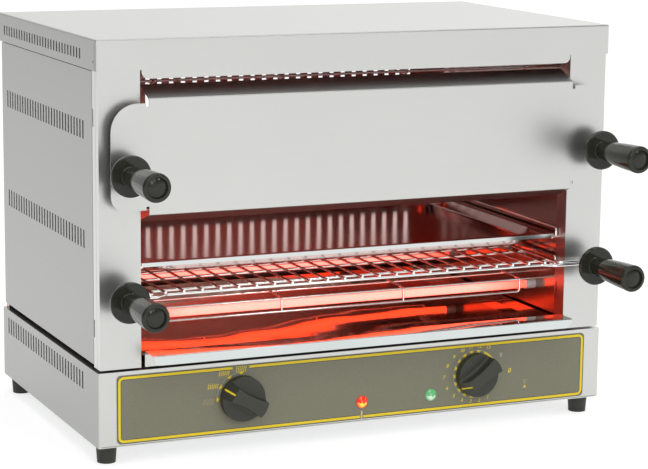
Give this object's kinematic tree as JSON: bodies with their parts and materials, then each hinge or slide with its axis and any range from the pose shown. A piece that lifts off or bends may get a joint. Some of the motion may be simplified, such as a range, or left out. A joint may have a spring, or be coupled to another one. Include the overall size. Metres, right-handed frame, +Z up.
{
  "type": "cheese melter",
  "caption": "Countertop two-deck quartz grill for melting cheese, with wire racks, baking tray, drip tray, a front panel, a selector and a timer.",
  "frame": {"origin": "on the worktop under the middle of the whole outline, racks and trays pushed in", "axes": "+X to the right seen from the front, along the longest side; +Y to the back; +Z up; racks and trays pull out along -Y"},
  "size_m": [0.64, 0.518, 0.476],
  "materials": {
    "casing_steel": "fine satin stainless steel",
    "cavity_steel": "bright polished stainless steel",
    "base_sheet": "plain coated steel sheet",
    "tray_steel": "bright pressed stainless steel",
    "chrome_wire": "bright chromed wire",
    "printed_overlay": "printed plastic film, taupe grey with a yellow frame and marks",
    "black_phenolic": "moulded black-olive phenolic, half gloss",
    "plated_shaft": "plated steel",
    "glowing_quartz": "fused quartz, glowing",
    "heating_wire": "hot resistance wire",
    "white_ceramic": "unglazed white ceramic",
    "red_lens": "translucent red lens",
    "green_lens": "translucent green lens",
    "foot_rubber": "black rubber",
    "black_nylon": "moulded black nylon"
  },
  "bodies": {
    "cabinet": {"base_housing": "casing_steel", "base_plate": "base_sheet", "foot_front_left": "foot_rubber", "foot_front_right": "foot_rubber", "foot_back_left": "foot_rubber", "foot_back_right": "foot_rubber", "control_overlay": "printed_overlay", "top_cover": "casing_steel", "rear_panel": "casing_steel", "upper_reflector": "cavity_steel", "left_front_post": "casing_steel", "right_front_post": "casing_steel", "left_side_panel": "casing_steel", "right_side_panel": "casing_steel", "left_inner_wall": "cavity_steel", "right_inner_wall": "cavity_steel", "lower_front_quartz_tube": "glowing_quartz", "lower_back_quartz_tube": "glowing_quartz", "middle_front_quartz_tube": "glowing_quartz", "middle_back_quartz_tube": "glowing_quartz", "upper_front_quartz_tube": "glowing_quartz", "upper_back_quartz_tube": "glowing_quartz", "heating_coils": "heating_wire", "tube_end_caps": "white_ceramic", "lower_tube_guards": "chrome_wire", "middle_tube_guards": "chrome_wire", "upper_tube_guards": "chrome_wire", "selector_switch": "black_nylon", "timer_movement": "black_nylon", "red_lamp": "red_lens", "green_lamp": "green_lens", "cable_gland": "black_nylon", "terminal_block": "white_ceramic", "left_lower_rack_runner": "chrome_wire", "right_lower_rack_runner": "chrome_wire", "left_tray_runner": "chrome_wire", "right_tray_runner": "chrome_wire", "left_upper_rack_runner": "chrome_wire", "right_upper_rack_runner": "chrome_wire"},
    "lower_rack": {"lower_rack_grid": "chrome_wire", "lower_rack_bow": "chrome_wire", "lower_rack_frame": "chrome_wire", "lower_left_handle": "black_phenolic", "lower_right_handle": "black_phenolic"},
    "upper_rack": {"upper_rack_grid": "chrome_wire", "upper_rack_bow": "chrome_wire", "upper_rack_frame": "chrome_wire", "upper_left_handle": "black_phenolic", "upper_right_handle": "black_phenolic", "front_panel": "casing_steel"},
    "baking_tray": {"baking_tray": "tray_steel"},
    "drip_tray": {"drip_tray": "tray_steel"},
    "selector": {"selector_knob": "black_phenolic", "selector_shaft": "plated_shaft"},
    "timer": {"timer_knob": "black_phenolic", "timer_shaft": "plated_shaft"}
  },
  "joints": [
    {"name": "lower_rack_slide", "type": "slide", "parent": "cabinet", "child": "lower_rack", "axis": [0, -1, 0], "range_m": [0, 0.25]},
    {"name": "upper_rack_slide", "type": "slide", "parent": "cabinet", "child": "upper_rack", "axis": [0, -1, 0], "range_m": [0, 0.25]},
    {"name": "baking_tray_slide", "type": "slide", "parent": "cabinet", "child": "baking_tray", "axis": [0, -1, 0], "range_m": [0, 0.25]},
    {"name": "drip_tray_slide", "type": "slide", "parent": "cabinet", "child": "drip_tray", "axis": [0, -1, 0], "range_m": [0, 0.25]},
    {"name": "selector_turn", "type": "hinge", "parent": "cabinet", "child": "selector", "pos_m": [-0.15, -0.1376, 0.0645], "axis": [0, -1, 0], "range_deg": [-60, 30]},
    {"name": "timer_turn", "type": "hinge", "parent": "cabinet", "child": "timer", "pos_m": [0.15, -0.1376, 0.0645], "axis": [0, -1, 0], "range_deg": [-185, 145]}
  ]
}
